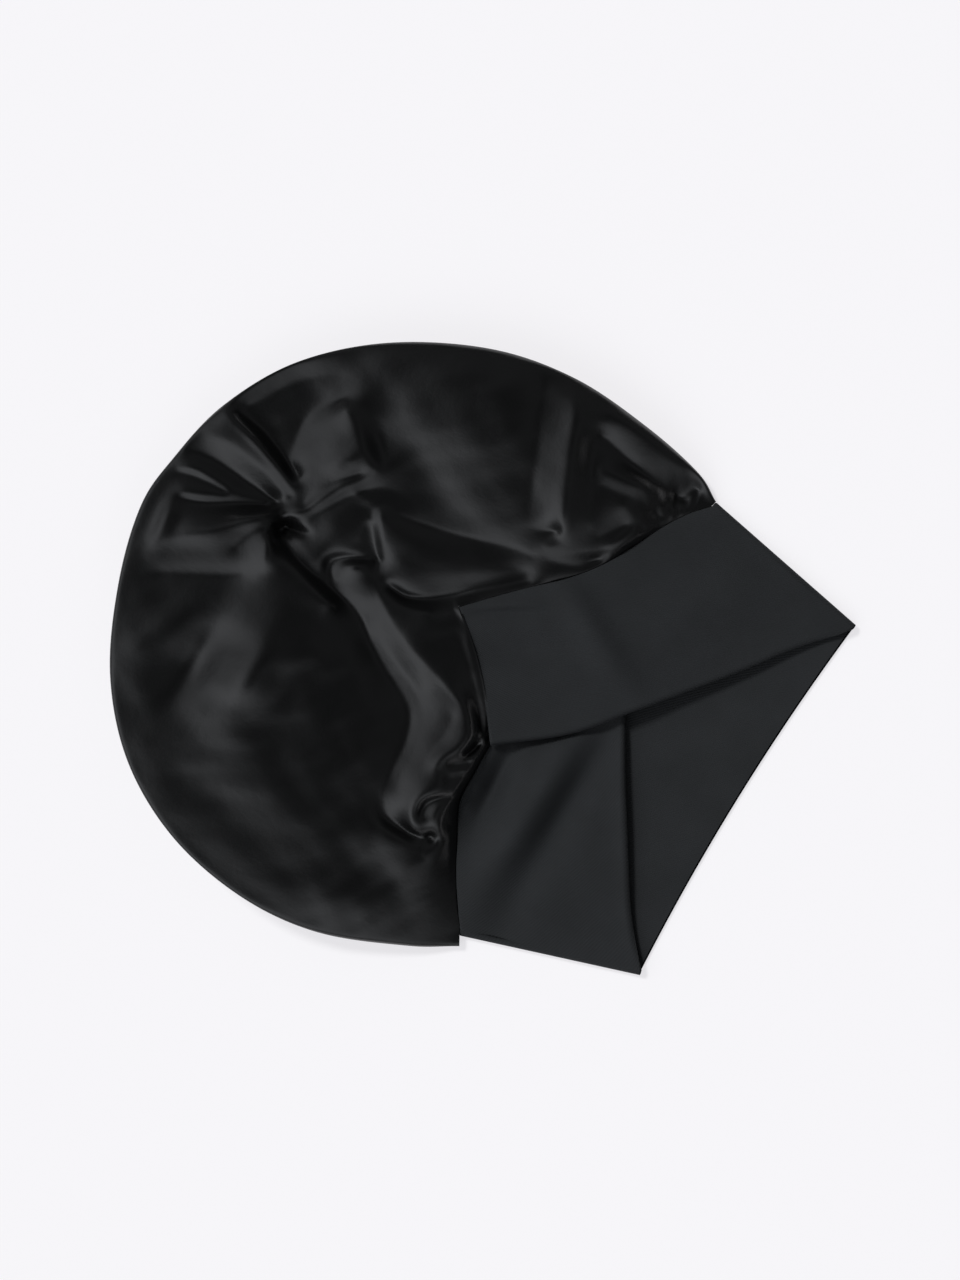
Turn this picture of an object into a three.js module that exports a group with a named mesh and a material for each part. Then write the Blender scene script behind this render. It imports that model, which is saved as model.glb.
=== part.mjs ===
// Silk bonnet lying on its back, front up: a gathered satin crown sewn to a wide stretch band
// whose two ends cross at the front.
import * as THREE from "three";

// Millimetres. X runs across the bonnet, Y from the rim to the far end of the crown, Z up.
const SATIN_WALL = 1.4;
const BAND_WALL = 2;
const SEAM_GAP = 0.35;
const FOOT_GAP = 1.3;
const LOBE_HEIGHT = 36;
const DOME_REACH = 150;
const EDGE_REACH = 3;
const EDGE_SHARE = 0.25;
const RELIEF_REACH = 6;
const WIDEST_HEIGHT = 23;
const CORNER_HEIGHT = 5;
const UNDER_ROLL = 12;
const CORNER_ROLL = 3;
const FOLD_RADIUS = 2;
const BACK_RIM_BOW = 4.5;
const GATHER_HEIGHT = 0.9;
const GATHER_PITCH = 15;
const GATHER_REACH = 7;

// Colours and surfaces
const SATIN = { color: 0x15171a, roughness: 0.36, metalness: 0 };
const STRETCH_KNIT = { color: 0x1c1d20, roughness: 0.9, metalness: 0 };

// Mesh steps
const STEPS_PER_SECTION = 5;
const TOP_STEPS = 18;
const ROLL_STEPS = 4;
const UNDER_STEPS = 3;
const ROLL_FOOT = TOP_STEPS + ROLL_STEPS;
const BAND_STEPS_ACROSS = 5;
const TUCK_STEPS = 4;
const FOLD_STEPS = 6;
const BACK_STEPS = 10;
const PLAN_STEPS = 204;
const MEMBRANE_CELL = 3;
const MEMBRANE_CORNER = [-210, 75];
const MEMBRANE_CELLS = [127, 106];
const MEMBRANE_SWEEPS = 260;
const MEMBRANE_REACH = 26;
const MEMBRANE_SOFTENING = 3;

// Sections of the bonnet, from the band's right fold over the tip of the upper strip to the left fold.
// seam: where crown and band meet; lift: middle of the wall there; rise: how far in the crown climbs;
// outline: the crown's widest line; rim: the band's free edge; rimLift: middle of the wall at that edge.
const SECTIONS = [
  { seam: [127, 102], lift: 5, rise: 12, outline: [130.3, 102.6], rim: [110, 0.5], rimLift: 5 },
  { seam: [117, 110.5], lift: 6.5, rise: 14, outline: [138, 118], rim: [101, 8.5], rimLift: 6 },
  { seam: [104, 118.5], lift: 8.5, rise: 16, outline: [144, 155], rim: [91, 17.5], rimLift: 7.5 },
  { seam: [88, 126], lift: 11, rise: 20, outline: [145.5, 203], rim: [79, 27], rimLift: 9.5 },
  { seam: [70, 135], lift: 14, rise: 20, outline: [135, 250], rim: [61, 39.5], rimLift: 12.5 },
  { seam: [52, 148], lift: 17, rise: 14, outline: [108.5, 299], rim: [36, 58.5], rimLift: 15.5 },
  { seam: [36, 164], lift: 19.5, rise: 11, outline: [73, 336], rim: [9, 79.5], rimLift: 17 },
  { seam: [20, 179], lift: 21.5, rise: 10, outline: [32, 357.5], rim: [-20, 103], rimLift: 17.8 },
  { seam: [6.5, 191], lift: 23, rise: 8, outline: [-7, 365.5], rim: [-48.5, 137], rimLift: 18 },
  { seam: [-11, 170], lift: 22.5, rise: 8, outline: [-38, 366.8] },
  { seam: [-29, 152.5], lift: 20, rise: 8, outline: [-80, 355] },
  { seam: [-48.5, 137], lift: 13.5, rise: 9, outline: [-125, 332.5], rim: [4, 82.5], rimLift: 13 },
  { seam: [-66, 136], lift: 12.5, rise: 9, outline: [-160, 299.5], rim: [-22, 66.5], rimLift: 12 },
  { seam: [-84, 134.5], lift: 11, rise: 9, outline: [-182, 257], rim: [-46, 50.5], rimLift: 10.5 },
  { seam: [-102, 125], lift: 9.5, rise: 10, outline: [-190, 209], rim: [-66, 37], rimLift: 9 },
  { seam: [-119, 115], lift: 8, rise: 14, outline: [-185, 163], rim: [-84, 24.5], rimLift: 7.5 },
  { seam: [-134, 104.5], lift: 6.5, rise: 18, outline: [-166, 117], rim: [-99, 12], rimLift: 6 },
  { seam: [-144, 97], lift: 5, rise: 14, outline: [-149.5, 95], rim: [-110, 0.5], rimLift: 5 },
];
const TIP = 8;
const CROSSING = 11;
const LAST = SECTIONS.length - 1;

// The lower strip's end, tucked under the upper strip
const TUCKED_END = [
  { seam: [-8, 166], lift: 13.5, rim: [34, 108], rimLift: 13.5 },
  { seam: [-27, 150], lift: 13.5, rim: [20, 95], rimLift: 13.5 },
];

// Creases and ridges of the satin as arcs through three points, with the cloth's height at each.
const FOLDS = [
  { name: "left pleat", from: [-4, 305, 28], via: [-26, 325, 40], to: [-52, 351, 37] },
  { name: "gap right of the left pleat", from: [-1.5, 308, 21], via: [-14, 331, 29.5], to: [-23, 351, 34] },
  { name: "gap left of the tube", from: [3, 304, 20], via: [4, 330, 27], to: [2, 360, 33] },
  { name: "tube", from: [8, 300, 25], via: [14, 318, 32], to: [18, 354, 38] },
  { name: "edge of the tube", from: [10, 298, 26], via: [20, 316, 36], to: [30, 354, 41] },
  { name: "gap right of the tube", from: [22, 306, 20], via: [31, 330, 27], to: [34, 349, 32] },
  { name: "valley above the bulge", from: [20, 303, 22], via: [42, 316, 23.5], to: [72, 303, 31] },
  { name: "top of the bulge", from: [46, 268, 38], via: [61, 286, 38], to: [75, 293, 37] },
  { name: "tuck crease", from: [8, 291.5, 24], via: [28, 283.5, 29.5], to: [41, 273.5, 32] },
  { name: "tuck", from: [-0.5, 294.5, 28], via: [14, 286, 31.5], to: [46, 266, 37] },
  { name: "edge of the left lobe", from: [-12, 300, 29], via: [-21, 279, 31], to: [-29, 250, 32] },
  { name: "left crease", from: [-9, 299, 15], via: [-20.5, 266, 20], to: [-28, 231, 17] },
  { name: "end of the left crease", from: [-28, 231, 17], via: [-37, 208, 18], to: [-53, 175, 21] },
  { name: "behind the seam puff", from: [-53, 175, 21], via: [-98, 172, 25], to: [-113, 150, 23] },
  { name: "seam puff", from: [-109, 143, 30], via: [-94, 153, 34], to: [-60, 155, 32] },
  { name: "side puff", from: [-143, 131, 24], via: [-126, 137, 29.5], to: [-113, 154, 32] },
  { name: "behind the side puff", from: [-150, 170, 31], via: [-130, 174, 27], to: [-119, 170, 25] },
  { name: "wedge", from: [-9, 256, 24], via: [-4, 250, 28], to: [1.5, 243, 23] },
  { name: "web", from: [-14, 284, 29], via: [4, 273, 30], to: [24, 268, 30.5] },
  { name: "flare", from: [6, 238, 21], via: [17, 246, 27], to: [29, 253, 31] },
  { name: "tongue", from: [2, 240, 20], via: [-22, 212, 26], to: [-37, 160, 25] },
  { name: "lip at the strip", from: [1, 194, 26], via: [-14, 174, 28], to: [-44, 144, 22] },
  { name: "hollow at the tongue", from: [-3, 230, 16], via: [-2, 217, 14], to: [6, 203, 15] },
  { name: "hollow along the strip", from: [6, 203, 15], via: [22, 185, 16], to: [40, 165, 16] },
  { name: "fold beside the strip", from: [2, 233, 26], via: [11, 206, 26.5], to: [43, 169, 23] },
  { name: "roll of the right lobe", from: [29, 277, 32], via: [37, 228, 30.5], to: [54, 168, 27.5] },
  { name: "right fold", from: [70, 164, 33], via: [95, 176, 39], to: [138, 196, 39] },
  { name: "above the right fold", from: [64, 184, 28], via: [85, 193, 30], to: [116, 208, 33] },
  { name: "below the right fold", from: [82, 152, 30], via: [100, 163, 31], to: [122, 177, 33] },
  { name: "right gather", from: [112, 120, 22], via: [114, 140, 34], to: [109, 160, 35] },
];

// Soft swells and dents of the two lobes: middle, direction in degrees, half length, half width, height
const SWELLS = [
  { at: [-84, 264], turn: -8, long: 30, wide: 13, height: 6 },
  { at: [-88, 302], turn: -12, long: 30, wide: 12, height: -6 },
  { at: [-102, 328], turn: -28, long: 24, wide: 9, height: 2 },
  { at: [-150, 250], turn: 75, long: 30, wide: 12, height: -1.5 },
  { at: [108, 218], turn: 25, long: 42, wide: 22, height: 5.5 },
  { at: [72, 276], turn: 15, long: 24, wide: 16, height: -3.5 },
  { at: [52, 252], turn: 75, long: 32, wide: 9, height: -2 },
];

const clamp = (v, low, high) => Math.min(Math.max(v, low), high);
const mix = (a, b, k) => a + (b - a) * k;
const mixPoint = (a, b, k) => a.map((v, i) => mix(v, b[i], k));
const smooth = (k) => k * k * (3 - 2 * k);

// Smooth curve through the rows of one column, at a fractional row
function through(column, u) {
  const n = column.length - 1;
  const i = clamp(Math.floor(u), 0, n - 1);
  const k = u - i;
  const p1 = column[i];
  const p2 = column[i + 1];
  const p0 = i > 0 ? column[i - 1] : p1.map((v, a) => 2 * v - p2[a]);
  const p3 = i + 2 <= n ? column[i + 2] : p2.map((v, a) => 2 * v - p1[a]);
  return p1.map((v, a) => {
    const turn = 2 * p0[a] - 5 * v + 4 * p2[a] - p3[a];
    const bend = -p0[a] + 3 * v - 3 * p2[a] + p3[a];
    return v + 0.5 * k * (p2[a] - p0[a] + k * (turn + k * bend));
  });
}

// Columns of the sections: the seam turns sharply at the strip's tip and at the crossing
const seamColumn = SECTIONS.map((row) => [...row.seam, row.lift, row.rise]);
const seamRuns = [
  { start: 0, column: seamColumn.slice(0, TIP + 1) },
  { start: TIP, column: seamColumn.slice(TIP, CROSSING + 1) },
  { start: CROSSING, column: seamColumn.slice(CROSSING) },
];
const outlineColumn = SECTIONS.map((row) => row.outline);

function seamAt(s) {
  const run = s < TIP ? seamRuns[0] : s < CROSSING ? seamRuns[1] : seamRuns[2];
  return through(run.column, s - run.start);
}

function outlineAt(s) {
  return through(outlineColumn, s);
}

function backSeamAt(s) {
  return mixPoint(SECTIONS[0].seam, SECTIONS[LAST].seam, s / LAST);
}

// Nearest distance from a point to a line of points in plan
function distance(x, y, line) {
  let best = Infinity;
  for (let i = 1; i < line.length; i += 1) {
    const [ax, ay] = line[i - 1];
    const [bx, by] = line[i];
    const span = (bx - ax) ** 2 + (by - ay) ** 2;
    const k = clamp(((x - ax) * (bx - ax) + (y - ay) * (by - ay)) / span, 0, 1);
    best = Math.min(best, Math.hypot(x - mix(ax, bx, k), y - mix(ay, by, k)));
  }
  return best;
}

function sampleLine(at, steps) {
  return Array.from({ length: steps + 1 }, (_, i) => at((i / steps) * LAST));
}

const seamLine = sampleLine(seamAt, PLAN_STEPS);
const outlineLine = sampleLine(outlineAt, PLAN_STEPS);

// The satin's height in plan: a soft membrane at lobe height, held at the given heights along the folds.
function makeMembrane() {
  const [left, front] = MEMBRANE_CORNER;
  const [nx, ny] = MEMBRANE_CELLS;
  const hold = new Float64Array(nx * ny);
  const held = new Float64Array(nx * ny);
  for (const fold of FOLDS) {
    const steps = 120;
    for (let i = 0; i <= steps; i += 1) {
      const [x, y, z] = through([fold.from, fold.via, fold.to], (2 * i) / steps);
      const fx = (x - left) / MEMBRANE_CELL;
      const fy = (y - front) / MEMBRANE_CELL;
      const ix = Math.floor(fx);
      const iy = Math.floor(fy);
      for (const [dx, dy] of [[0, 0], [1, 0], [0, 1], [1, 1]]) {
        const weight = (dx ? fx - ix : 1 - fx + ix) * (dy ? fy - iy : 1 - fy + iy);
        const cell = (iy + dy) * nx + ix + dx;
        hold[cell] += 0.25 * weight;
        held[cell] += 0.25 * weight * z;
      }
    }
  }
  const puff = (MEMBRANE_CELL / MEMBRANE_REACH) ** 2;
  const height = new Float64Array(nx * ny).fill(LOBE_HEIGHT);
  for (let sweep = 0; sweep < MEMBRANE_SWEEPS; sweep += 1) {
    for (let iy = 0; iy < ny; iy += 1) {
      for (let ix = 0; ix < nx; ix += 1) {
        const cell = iy * nx + ix;
        const west = height[ix > 0 ? cell - 1 : cell];
        const east = height[ix < nx - 1 ? cell + 1 : cell];
        const south = height[iy > 0 ? cell - nx : cell];
        const north = height[iy < ny - 1 ? cell + nx : cell];
        const pull = west + east + south + north + puff * LOBE_HEIGHT + held[cell];
        height[cell] = mix(height[cell], pull / (4 + puff + hold[cell]), 1.6);
      }
    }
  }
  for (let pass = 0; pass < MEMBRANE_SOFTENING; pass += 1) {
    const sharp = height.slice();
    for (let cell = nx; cell < sharp.length - nx; cell += 1) {
      const beside = sharp[cell - 1] + sharp[cell + 1] + sharp[cell - nx] + sharp[cell + nx];
      height[cell] = mix(sharp[cell], beside / 4, 0.5);
    }
  }
  return (x, y) => {
    const fx = clamp((x - left) / MEMBRANE_CELL, 0, nx - 1.01);
    const fy = clamp((y - front) / MEMBRANE_CELL, 0, ny - 1.01);
    const cell = Math.floor(fy) * nx + Math.floor(fx);
    const kx = fx % 1;
    const low = mix(height[cell], height[cell + 1], kx);
    const high = mix(height[cell + nx], height[cell + nx + 1], kx);
    return mix(low, high, fy % 1);
  };
}

const membrane = makeMembrane();

function swellAt(x, y) {
  return SWELLS.reduce((sum, swell) => {
    const turn = THREE.MathUtils.degToRad(swell.turn);
    const dx = x - swell.at[0];
    const dy = y - swell.at[1];
    const u = (dx * Math.cos(turn) + dy * Math.sin(turn)) / swell.long;
    const v = (dy * Math.cos(turn) - dx * Math.sin(turn)) / swell.wide;
    return sum + swell.height * Math.exp(-u * u - v * v);
  }, 0);
}

// How far a section is from the band's side folds, 0 at a fold and 1 three sections in
function fromFold(s) {
  return smooth(clamp(Math.min(s, LAST - s) / 3, 0, 1));
}

const widestAt = (s) => mix(CORNER_HEIGHT, WIDEST_HEIGHT, fromFold(s));
const seamTopAt = (s) => seamAt(s)[2] + BAND_WALL / 2;

// Height of the crown's top: a dome that rises from the outline, first quickly and then slowly, and
// carries the membrane's folds and swells. It climbs from the seam.
function topHeight(x, y, s, across) {
  const base = mix(seamTopAt(s), widestAt(s), across);
  const fromSeam = distance(x, y, seamLine);
  const fromOutline = distance(x, y, outlineLine);
  const edge = 1 - Math.exp(-fromOutline / EDGE_REACH);
  const slow = 1 - (1 - clamp(fromOutline / DOME_REACH, 0, 1)) ** 2;
  const dome = mix(widestAt(s), LOBE_HEIGHT, mix(slow, edge, EDGE_SHARE));
  const fade = 1 - Math.exp(-fromOutline / RELIEF_REACH);
  const relief = (membrane(x, y) + swellAt(x, y) - LOBE_HEIGHT) * fade;
  const climb = 1 - (1 - clamp(fromSeam / seamAt(s)[3], 0, 1)) ** 2;
  const gather = Math.sin((2 * Math.PI * seamAt(s)[0]) / GATHER_PITCH) * GATHER_HEIGHT * fromFold(s);
  const gatherReach = (fromSeam / GATHER_REACH) * Math.exp(1 - fromSeam / GATHER_REACH);
  return mix(base, dome + relief, climb) + gather * gatherReach * fade;
}

// One section of the crown's outside, from the front seam over the top and the roll to the back seam.
// The grid of sections faces into the bag.
function crownSection(s) {
  const seam = seamAt(s);
  const outline = outlineAt(s);
  const back = backSeamAt(s);
  const before = outlineAt(Math.max(s - 0.2, 0));
  const after = outlineAt(Math.min(s + 0.2, LAST));
  const square = new THREE.Vector2(before[1] - after[1], after[0] - before[0]).normalize();
  const toBack = new THREE.Vector2(back[0] - outline[0], back[1] - outline[1]).normalize();
  const inward = toBack.lerp(square, 0.8 * fromFold(s)).normalize();
  const roll = mix(CORNER_ROLL, UNDER_ROLL, fromFold(s));
  const points = [];
  for (let i = 0; i <= TOP_STEPS; i += 1) {
    const k = i / TOP_STEPS;
    const across = mix(k, 0.5 - 0.5 * Math.cos(Math.PI * k), 0.5);
    const [x, y] = mixPoint(seam.slice(0, 2), outline, across);
    points.push([x, y, topHeight(x, y, s, across)]);
  }
  for (let i = 1; i <= ROLL_STEPS; i += 1) {
    const turn = ((i / ROLL_STEPS) * Math.PI) / 2;
    const step = roll * (1 - Math.cos(turn));
    const x = outline[0] + inward.x * step;
    const y = outline[1] + inward.y * step;
    points.push([x, y, widestAt(s) * (1 - Math.sin(turn))]);
  }
  const foot = points[points.length - 1];
  for (let i = 1; i <= UNDER_STEPS; i += 1) {
    const [x, y] = mixPoint(foot.slice(0, 2), back, i / UNDER_STEPS);
    points.push([x, y, 0]);
  }
  return points;
}

// Unit normal of a grid of points at a row and column
function gridNormal(grid, i, j) {
  const at = (a, b) => {
    const row = grid[clamp(a, 0, grid.length - 1)];
    return new THREE.Vector3(...row[clamp(b, 0, row.length - 1)]);
  };
  const along = at(i + 1, j).sub(at(i - 1, j));
  const across = at(i, j + 1).sub(at(i, j - 1));
  return along.cross(across).normalize();
}

function offsetGrid(grid, reach, normalAt = gridNormal) {
  return grid.map((row, i) => row.map((point, j) => {
    const step = normalAt(grid, i, j).multiplyScalar(reach);
    return step.add(new THREE.Vector3(...point)).toArray();
  }));
}

// Closed cloth between two grids of the same size, the first one facing along its own normals.
// Each cell is split along its shorter diagonal, which follows the folds.
function clothGeometry(outer, inner) {
  const rows = outer.length;
  const columns = outer[0].length;
  const index = (side, i, j) => (side * rows + i) * columns + j;
  const points = [...outer.flat(), ...inner.flat()].map((point) => new THREE.Vector3(...point));
  const faces = [];
  const quad = (a, b, c, d) => {
    const shorter = points[a].distanceTo(points[c]) < points[b].distanceTo(points[d]);
    faces.push(...(shorter ? [a, b, c, a, c, d] : [a, b, d, b, c, d]));
  };
  for (let i = 0; i + 1 < rows; i += 1) {
    for (let j = 0; j + 1 < columns; j += 1) {
      quad(index(0, i, j), index(0, i + 1, j), index(0, i + 1, j + 1), index(0, i, j + 1));
      quad(index(1, i, j), index(1, i, j + 1), index(1, i + 1, j + 1), index(1, i + 1, j));
    }
    quad(index(0, i, 0), index(1, i, 0), index(1, i + 1, 0), index(0, i + 1, 0));
    const end = columns - 1;
    quad(index(0, i, end), index(0, i + 1, end), index(1, i + 1, end), index(1, i, end));
  }
  for (let j = 0; j + 1 < columns; j += 1) {
    quad(index(0, 0, j), index(0, 0, j + 1), index(1, 0, j + 1), index(1, 0, j));
    const end = rows - 1;
    quad(index(0, end, j), index(1, end, j), index(1, end, j + 1), index(0, end, j + 1));
  }
  const geometry = new THREE.BufferGeometry();
  geometry.setFromPoints(points);
  geometry.setIndex(faces);
  geometry.computeVertexNormals();
  return geometry;
}

const straightUp = () => new THREE.Vector3(0, 0, 1);

// The crown's wall is measured straight down at the front seam and straight up on the table
function crownNormal(grid, i, j) {
  if (j === 0) {
    return new THREE.Vector3(0, 0, -1);
  }
  return j < ROLL_FOOT ? gridNormal(grid, i, j) : straightUp();
}

const crownSections = sampleLine(crownSection, LAST * STEPS_PER_SECTION);

// The crown's front: from the front seam over the top to the foot of the roll
function crownFrontGeometry() {
  const front = crownSections.map((section) => section.slice(0, ROLL_FOOT + 1));
  return clothGeometry(offsetGrid(front, SATIN_WALL, crownNormal), front);
}

// The crown's back, flat on the table from the foot of the roll to the back seam. It leaves out the two
// side folds, where the foot meets the seam.
function crownBackGeometry() {
  const back = crownSections.slice(1, -1).map((section) => {
    const [foot, ...rest] = section.slice(ROLL_FOOT);
    const seam = rest[rest.length - 1];
    const length = Math.hypot(seam[0] - foot[0], seam[1] - foot[1]);
    return [mixPoint(foot, seam, FOOT_GAP / length), ...rest];
  });
  return clothGeometry(offsetGrid(back, SATIN_WALL, straightUp), back);
}

// Crosswise line of the band's middle from its seam edge to its free edge, kept clear of the seam
function bandLine(row, bow) {
  const length = Math.hypot(row.rim[0] - row.seam[0], row.rim[1] - row.seam[1]);
  return Array.from({ length: BAND_STEPS_ACROSS + 1 }, (_, j) => {
    const k = mix(SEAM_GAP / length, 1, j / BAND_STEPS_ACROSS);
    const [x, y] = mixPoint(row.seam, row.rim, k);
    const [bx, by] = bow(k);
    return [x + bx, y + by, mix(row.lift, row.rimLift, smooth(k))];
  });
}

const straight = () => [0, 0];

const rimColumn = (rows) => rows.map((row) => [...row.rim, row.rimLift]);

// Crosswise rows of a strip at its sections' steps, sharing the seam with the crown
function stripRows(first, last) {
  const column = rimColumn(SECTIONS.slice(first, last + 1));
  const steps = (last - first) * STEPS_PER_SECTION;
  return Array.from({ length: steps + 1 }, (_, i) => {
    const s = first + i / STEPS_PER_SECTION;
    const [x, y, lift] = seamAt(s);
    const [rx, ry, rimLift] = through(column, s - first);
    return { s, seam: [x, y], lift, rim: [rx, ry], rimLift };
  });
}

// Crosswise rows of the lower strip's end, up to the crossing
function tuckedRows() {
  const rows = [...TUCKED_END, SECTIONS[CROSSING]];
  const column = rows.map((row) => [...row.seam, row.lift, ...row.rim, row.rimLift]);
  return Array.from({ length: TUCK_STEPS }, (_, i) => {
    const [x, y, lift, rx, ry, rimLift] = through(column, (i / TUCK_STEPS) * TUCKED_END.length);
    return { seam: [x, y], lift, rim: [rx, ry], rimLift };
  });
}

// Half turn of the band about a side fold, from the height at which it starts
function foldLines(row, outward, rising) {
  return Array.from({ length: FOLD_STEPS - 1 }, (_, i) => {
    const turn = mix(-0.5, 0.5, (i + 1) / FOLD_STEPS) * Math.PI * (rising ? 1 : -1);
    const reach = FOLD_RADIUS * Math.cos(turn);
    const lift = BAND_WALL / 2 + FOLD_RADIUS * (1 + Math.sin(turn));
    const flat = { ...row, lift, rimLift: lift };
    return bandLine(flat, () => [outward[0] * reach, outward[1] * reach]);
  });
}

function outwardFrom(row, side) {
  const dx = row.rim[0] - row.seam[0];
  const dy = row.rim[1] - row.seam[1];
  const length = Math.hypot(dx, dy);
  return [(-dy / length) * side, (dx / length) * side];
}

// The band as one strip: tucked end, lower strip, left fold, back, right fold, upper strip
function bandGeometry() {
  const right = SECTIONS[0];
  const left = SECTIONS[LAST];
  const lower = [...tuckedRows(), ...stripRows(CROSSING, LAST)];
  const lines = lower.map((row) => bandLine(row, straight));
  lines.push(...foldLines(left, outwardFrom(left, -1), false));
  for (let i = 0; i <= BACK_STEPS; i += 1) {
    const k = i / BACK_STEPS;
    const lift = BAND_WALL / 2;
    const seam = mixPoint(left.seam, right.seam, k);
    const rim = mixPoint(left.rim, right.rim, k);
    const bow = BACK_RIM_BOW * 4 * k * (1 - k);
    lines.push(bandLine({ seam, rim, lift, rimLift: lift }, (v) => [0, bow * v]));
  }
  lines.push(...foldLines(right, outwardFrom(right, 1), true));
  const tip = SECTIONS[TIP];
  for (const row of stripRows(0, TIP)) {
    const nearTip = clamp((row.s - TIP + 2) / 2, 0, 1) ** 2;
    const back = row.s === TIP ? SEAM_GAP : 0;
    lines.push(bandLine(row, (k) => {
      const end = seamAt(TIP + k * (CROSSING - TIP));
      const [x, y] = mixPoint(tip.seam, tip.rim, k);
      return [nearTip * (end[0] - x) + back, nearTip * (end[1] - y) - back];
    }));
  }
  return clothGeometry(offsetGrid(lines, BAND_WALL / 2), offsetGrid(lines, -BAND_WALL / 2));
}

function piece(name, geometry, finish) {
  const mesh = new THREE.Mesh(geometry, new THREE.MeshStandardMaterial(finish));
  mesh.name = name;
  return mesh;
}

// The bonnet lies with the middle of its footprint at the origin
const bonnet = new THREE.Group();
bonnet.name = "silk_bonnet";
bonnet.add(piece("crown_front", crownFrontGeometry(), SATIN));
bonnet.add(piece("crown_back", crownBackGeometry(), SATIN));
bonnet.add(piece("band", bandGeometry(), STRETCH_KNIT));
const box = new THREE.Box3().setFromObject(bonnet);
const middle = box.getCenter(new THREE.Vector3());
for (const mesh of bonnet.children) {
  mesh.geometry.translate(-middle.x, -middle.y, -box.min.z);
}

export default bonnet;
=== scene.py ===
"""Silk bonnet lying on its back: a gathered satin crown sewn to a wide stretch band that crosses at the front."""

import math

import bpy
import numpy as np
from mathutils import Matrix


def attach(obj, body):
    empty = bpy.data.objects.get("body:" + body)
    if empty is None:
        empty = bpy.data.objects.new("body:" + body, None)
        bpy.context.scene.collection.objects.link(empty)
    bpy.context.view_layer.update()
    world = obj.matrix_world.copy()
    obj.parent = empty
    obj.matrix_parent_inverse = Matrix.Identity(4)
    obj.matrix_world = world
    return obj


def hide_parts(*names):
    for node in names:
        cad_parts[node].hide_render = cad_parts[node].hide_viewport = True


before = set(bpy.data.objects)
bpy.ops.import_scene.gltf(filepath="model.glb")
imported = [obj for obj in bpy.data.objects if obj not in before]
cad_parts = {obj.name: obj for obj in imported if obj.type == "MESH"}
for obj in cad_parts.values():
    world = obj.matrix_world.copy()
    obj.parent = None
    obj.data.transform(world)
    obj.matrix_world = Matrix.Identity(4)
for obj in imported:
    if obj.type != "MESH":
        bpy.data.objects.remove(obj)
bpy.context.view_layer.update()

# Plan drawing in millimetres: X across, Y from the rim to the far end of the crown, Z up
# Shift from the drawing to the part's frame
PLAN_SHIFT = np.array([22.008, -183.524, 0.0])

# Crown: heights of the lobes, of the widest line and of that line at the corners, and the roll under it
LOBE_HEIGHT = 36.0
WIDEST_HEIGHT, CORNER_HEIGHT = 23.0, 5.0
UNDER_ROLL, CORNER_ROLL = 12.0, 3.0
TABLE_GAP = 0.3
# Share of the dome's rise that comes right at the outline, and how far in it, the rest and the folds reach
ROLL_SHARE, ROLL_REACH = 0.1, 0.9
DOME_REACH = 150.0
RELIEF_REACH = 6.0
# Satin at the seam: height above the band's middle, and more at the upper strip's end; allowance under the band's
# edge and its drop; lip over the upper strip's end, which is eased in over END_EASE sections
SEAM_STAND, END_STAND = 0.9, 0.5
FLANGE, FLANGE_DROP = 2.2, 2.2
LIP, END_EASE = 1.4, 0.2
GATHER_HEIGHT = 0.35
SIDE_PLEAT, SIDE_PLEAT_WAVE = 1.1, 0.65

# Band: wall, width, gap at the seam, radius of the side folds, bow of the back's free edge, round of the strips' rims
BAND_WALL, BAND_WIDTH = 2.0, 102.0
SEAM_GAP = 0.25
FOLD_RADIUS = 2.0
BACK_RIM_BOW = 4.5
RIM_ROUND = 3.5
# Sections over which a strip's rim eases into a side fold, and over which its bow grows towards the tip
FOLD_EASE, TIP_REACH = 1.5, 2.0
# Twill ribs of the band in metres; a diagonal wave of scale 1 repeats after RIB_WAVE
RIB_SPACING, RIB_WAVE = 0.0013, 0.444

# Studio light: level by the sine of the height above the horizon; it is scaled by the cosine to the brighter side
# plus an even share, and at least by the least share
SKY_LEVELS = ((0.0, 0.1), (0.25, 0.25), (0.5, 1.1), (0.75, 1.1), (0.9, 0.45), (0.97, 0.12), (1.0, 0.07))
BRIGHT_SIDE, EVEN_SHARE, LEAST_SHARE = (-0.94, 0.34, 0), 0.4, 0.1
# Key light: degrees above the floor and round from +X, strength, and its width in degrees
KEY_HEIGHT, KEY_SIDE = 50.0, 78.0
KEY_STRENGTH, KEY_WIDTH = 1.9, 12.0
# Camera: lens, width and middle of the view on the floor in metres, and the picture's right in the plan
LENS = 110
VIEW_WIDTH, VIEW_MIDDLE = 0.704, (0.01927, -0.0121)
VIEW_RIGHT = (0.52694, -0.8499)
FLOOR_HALF = 4

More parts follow.
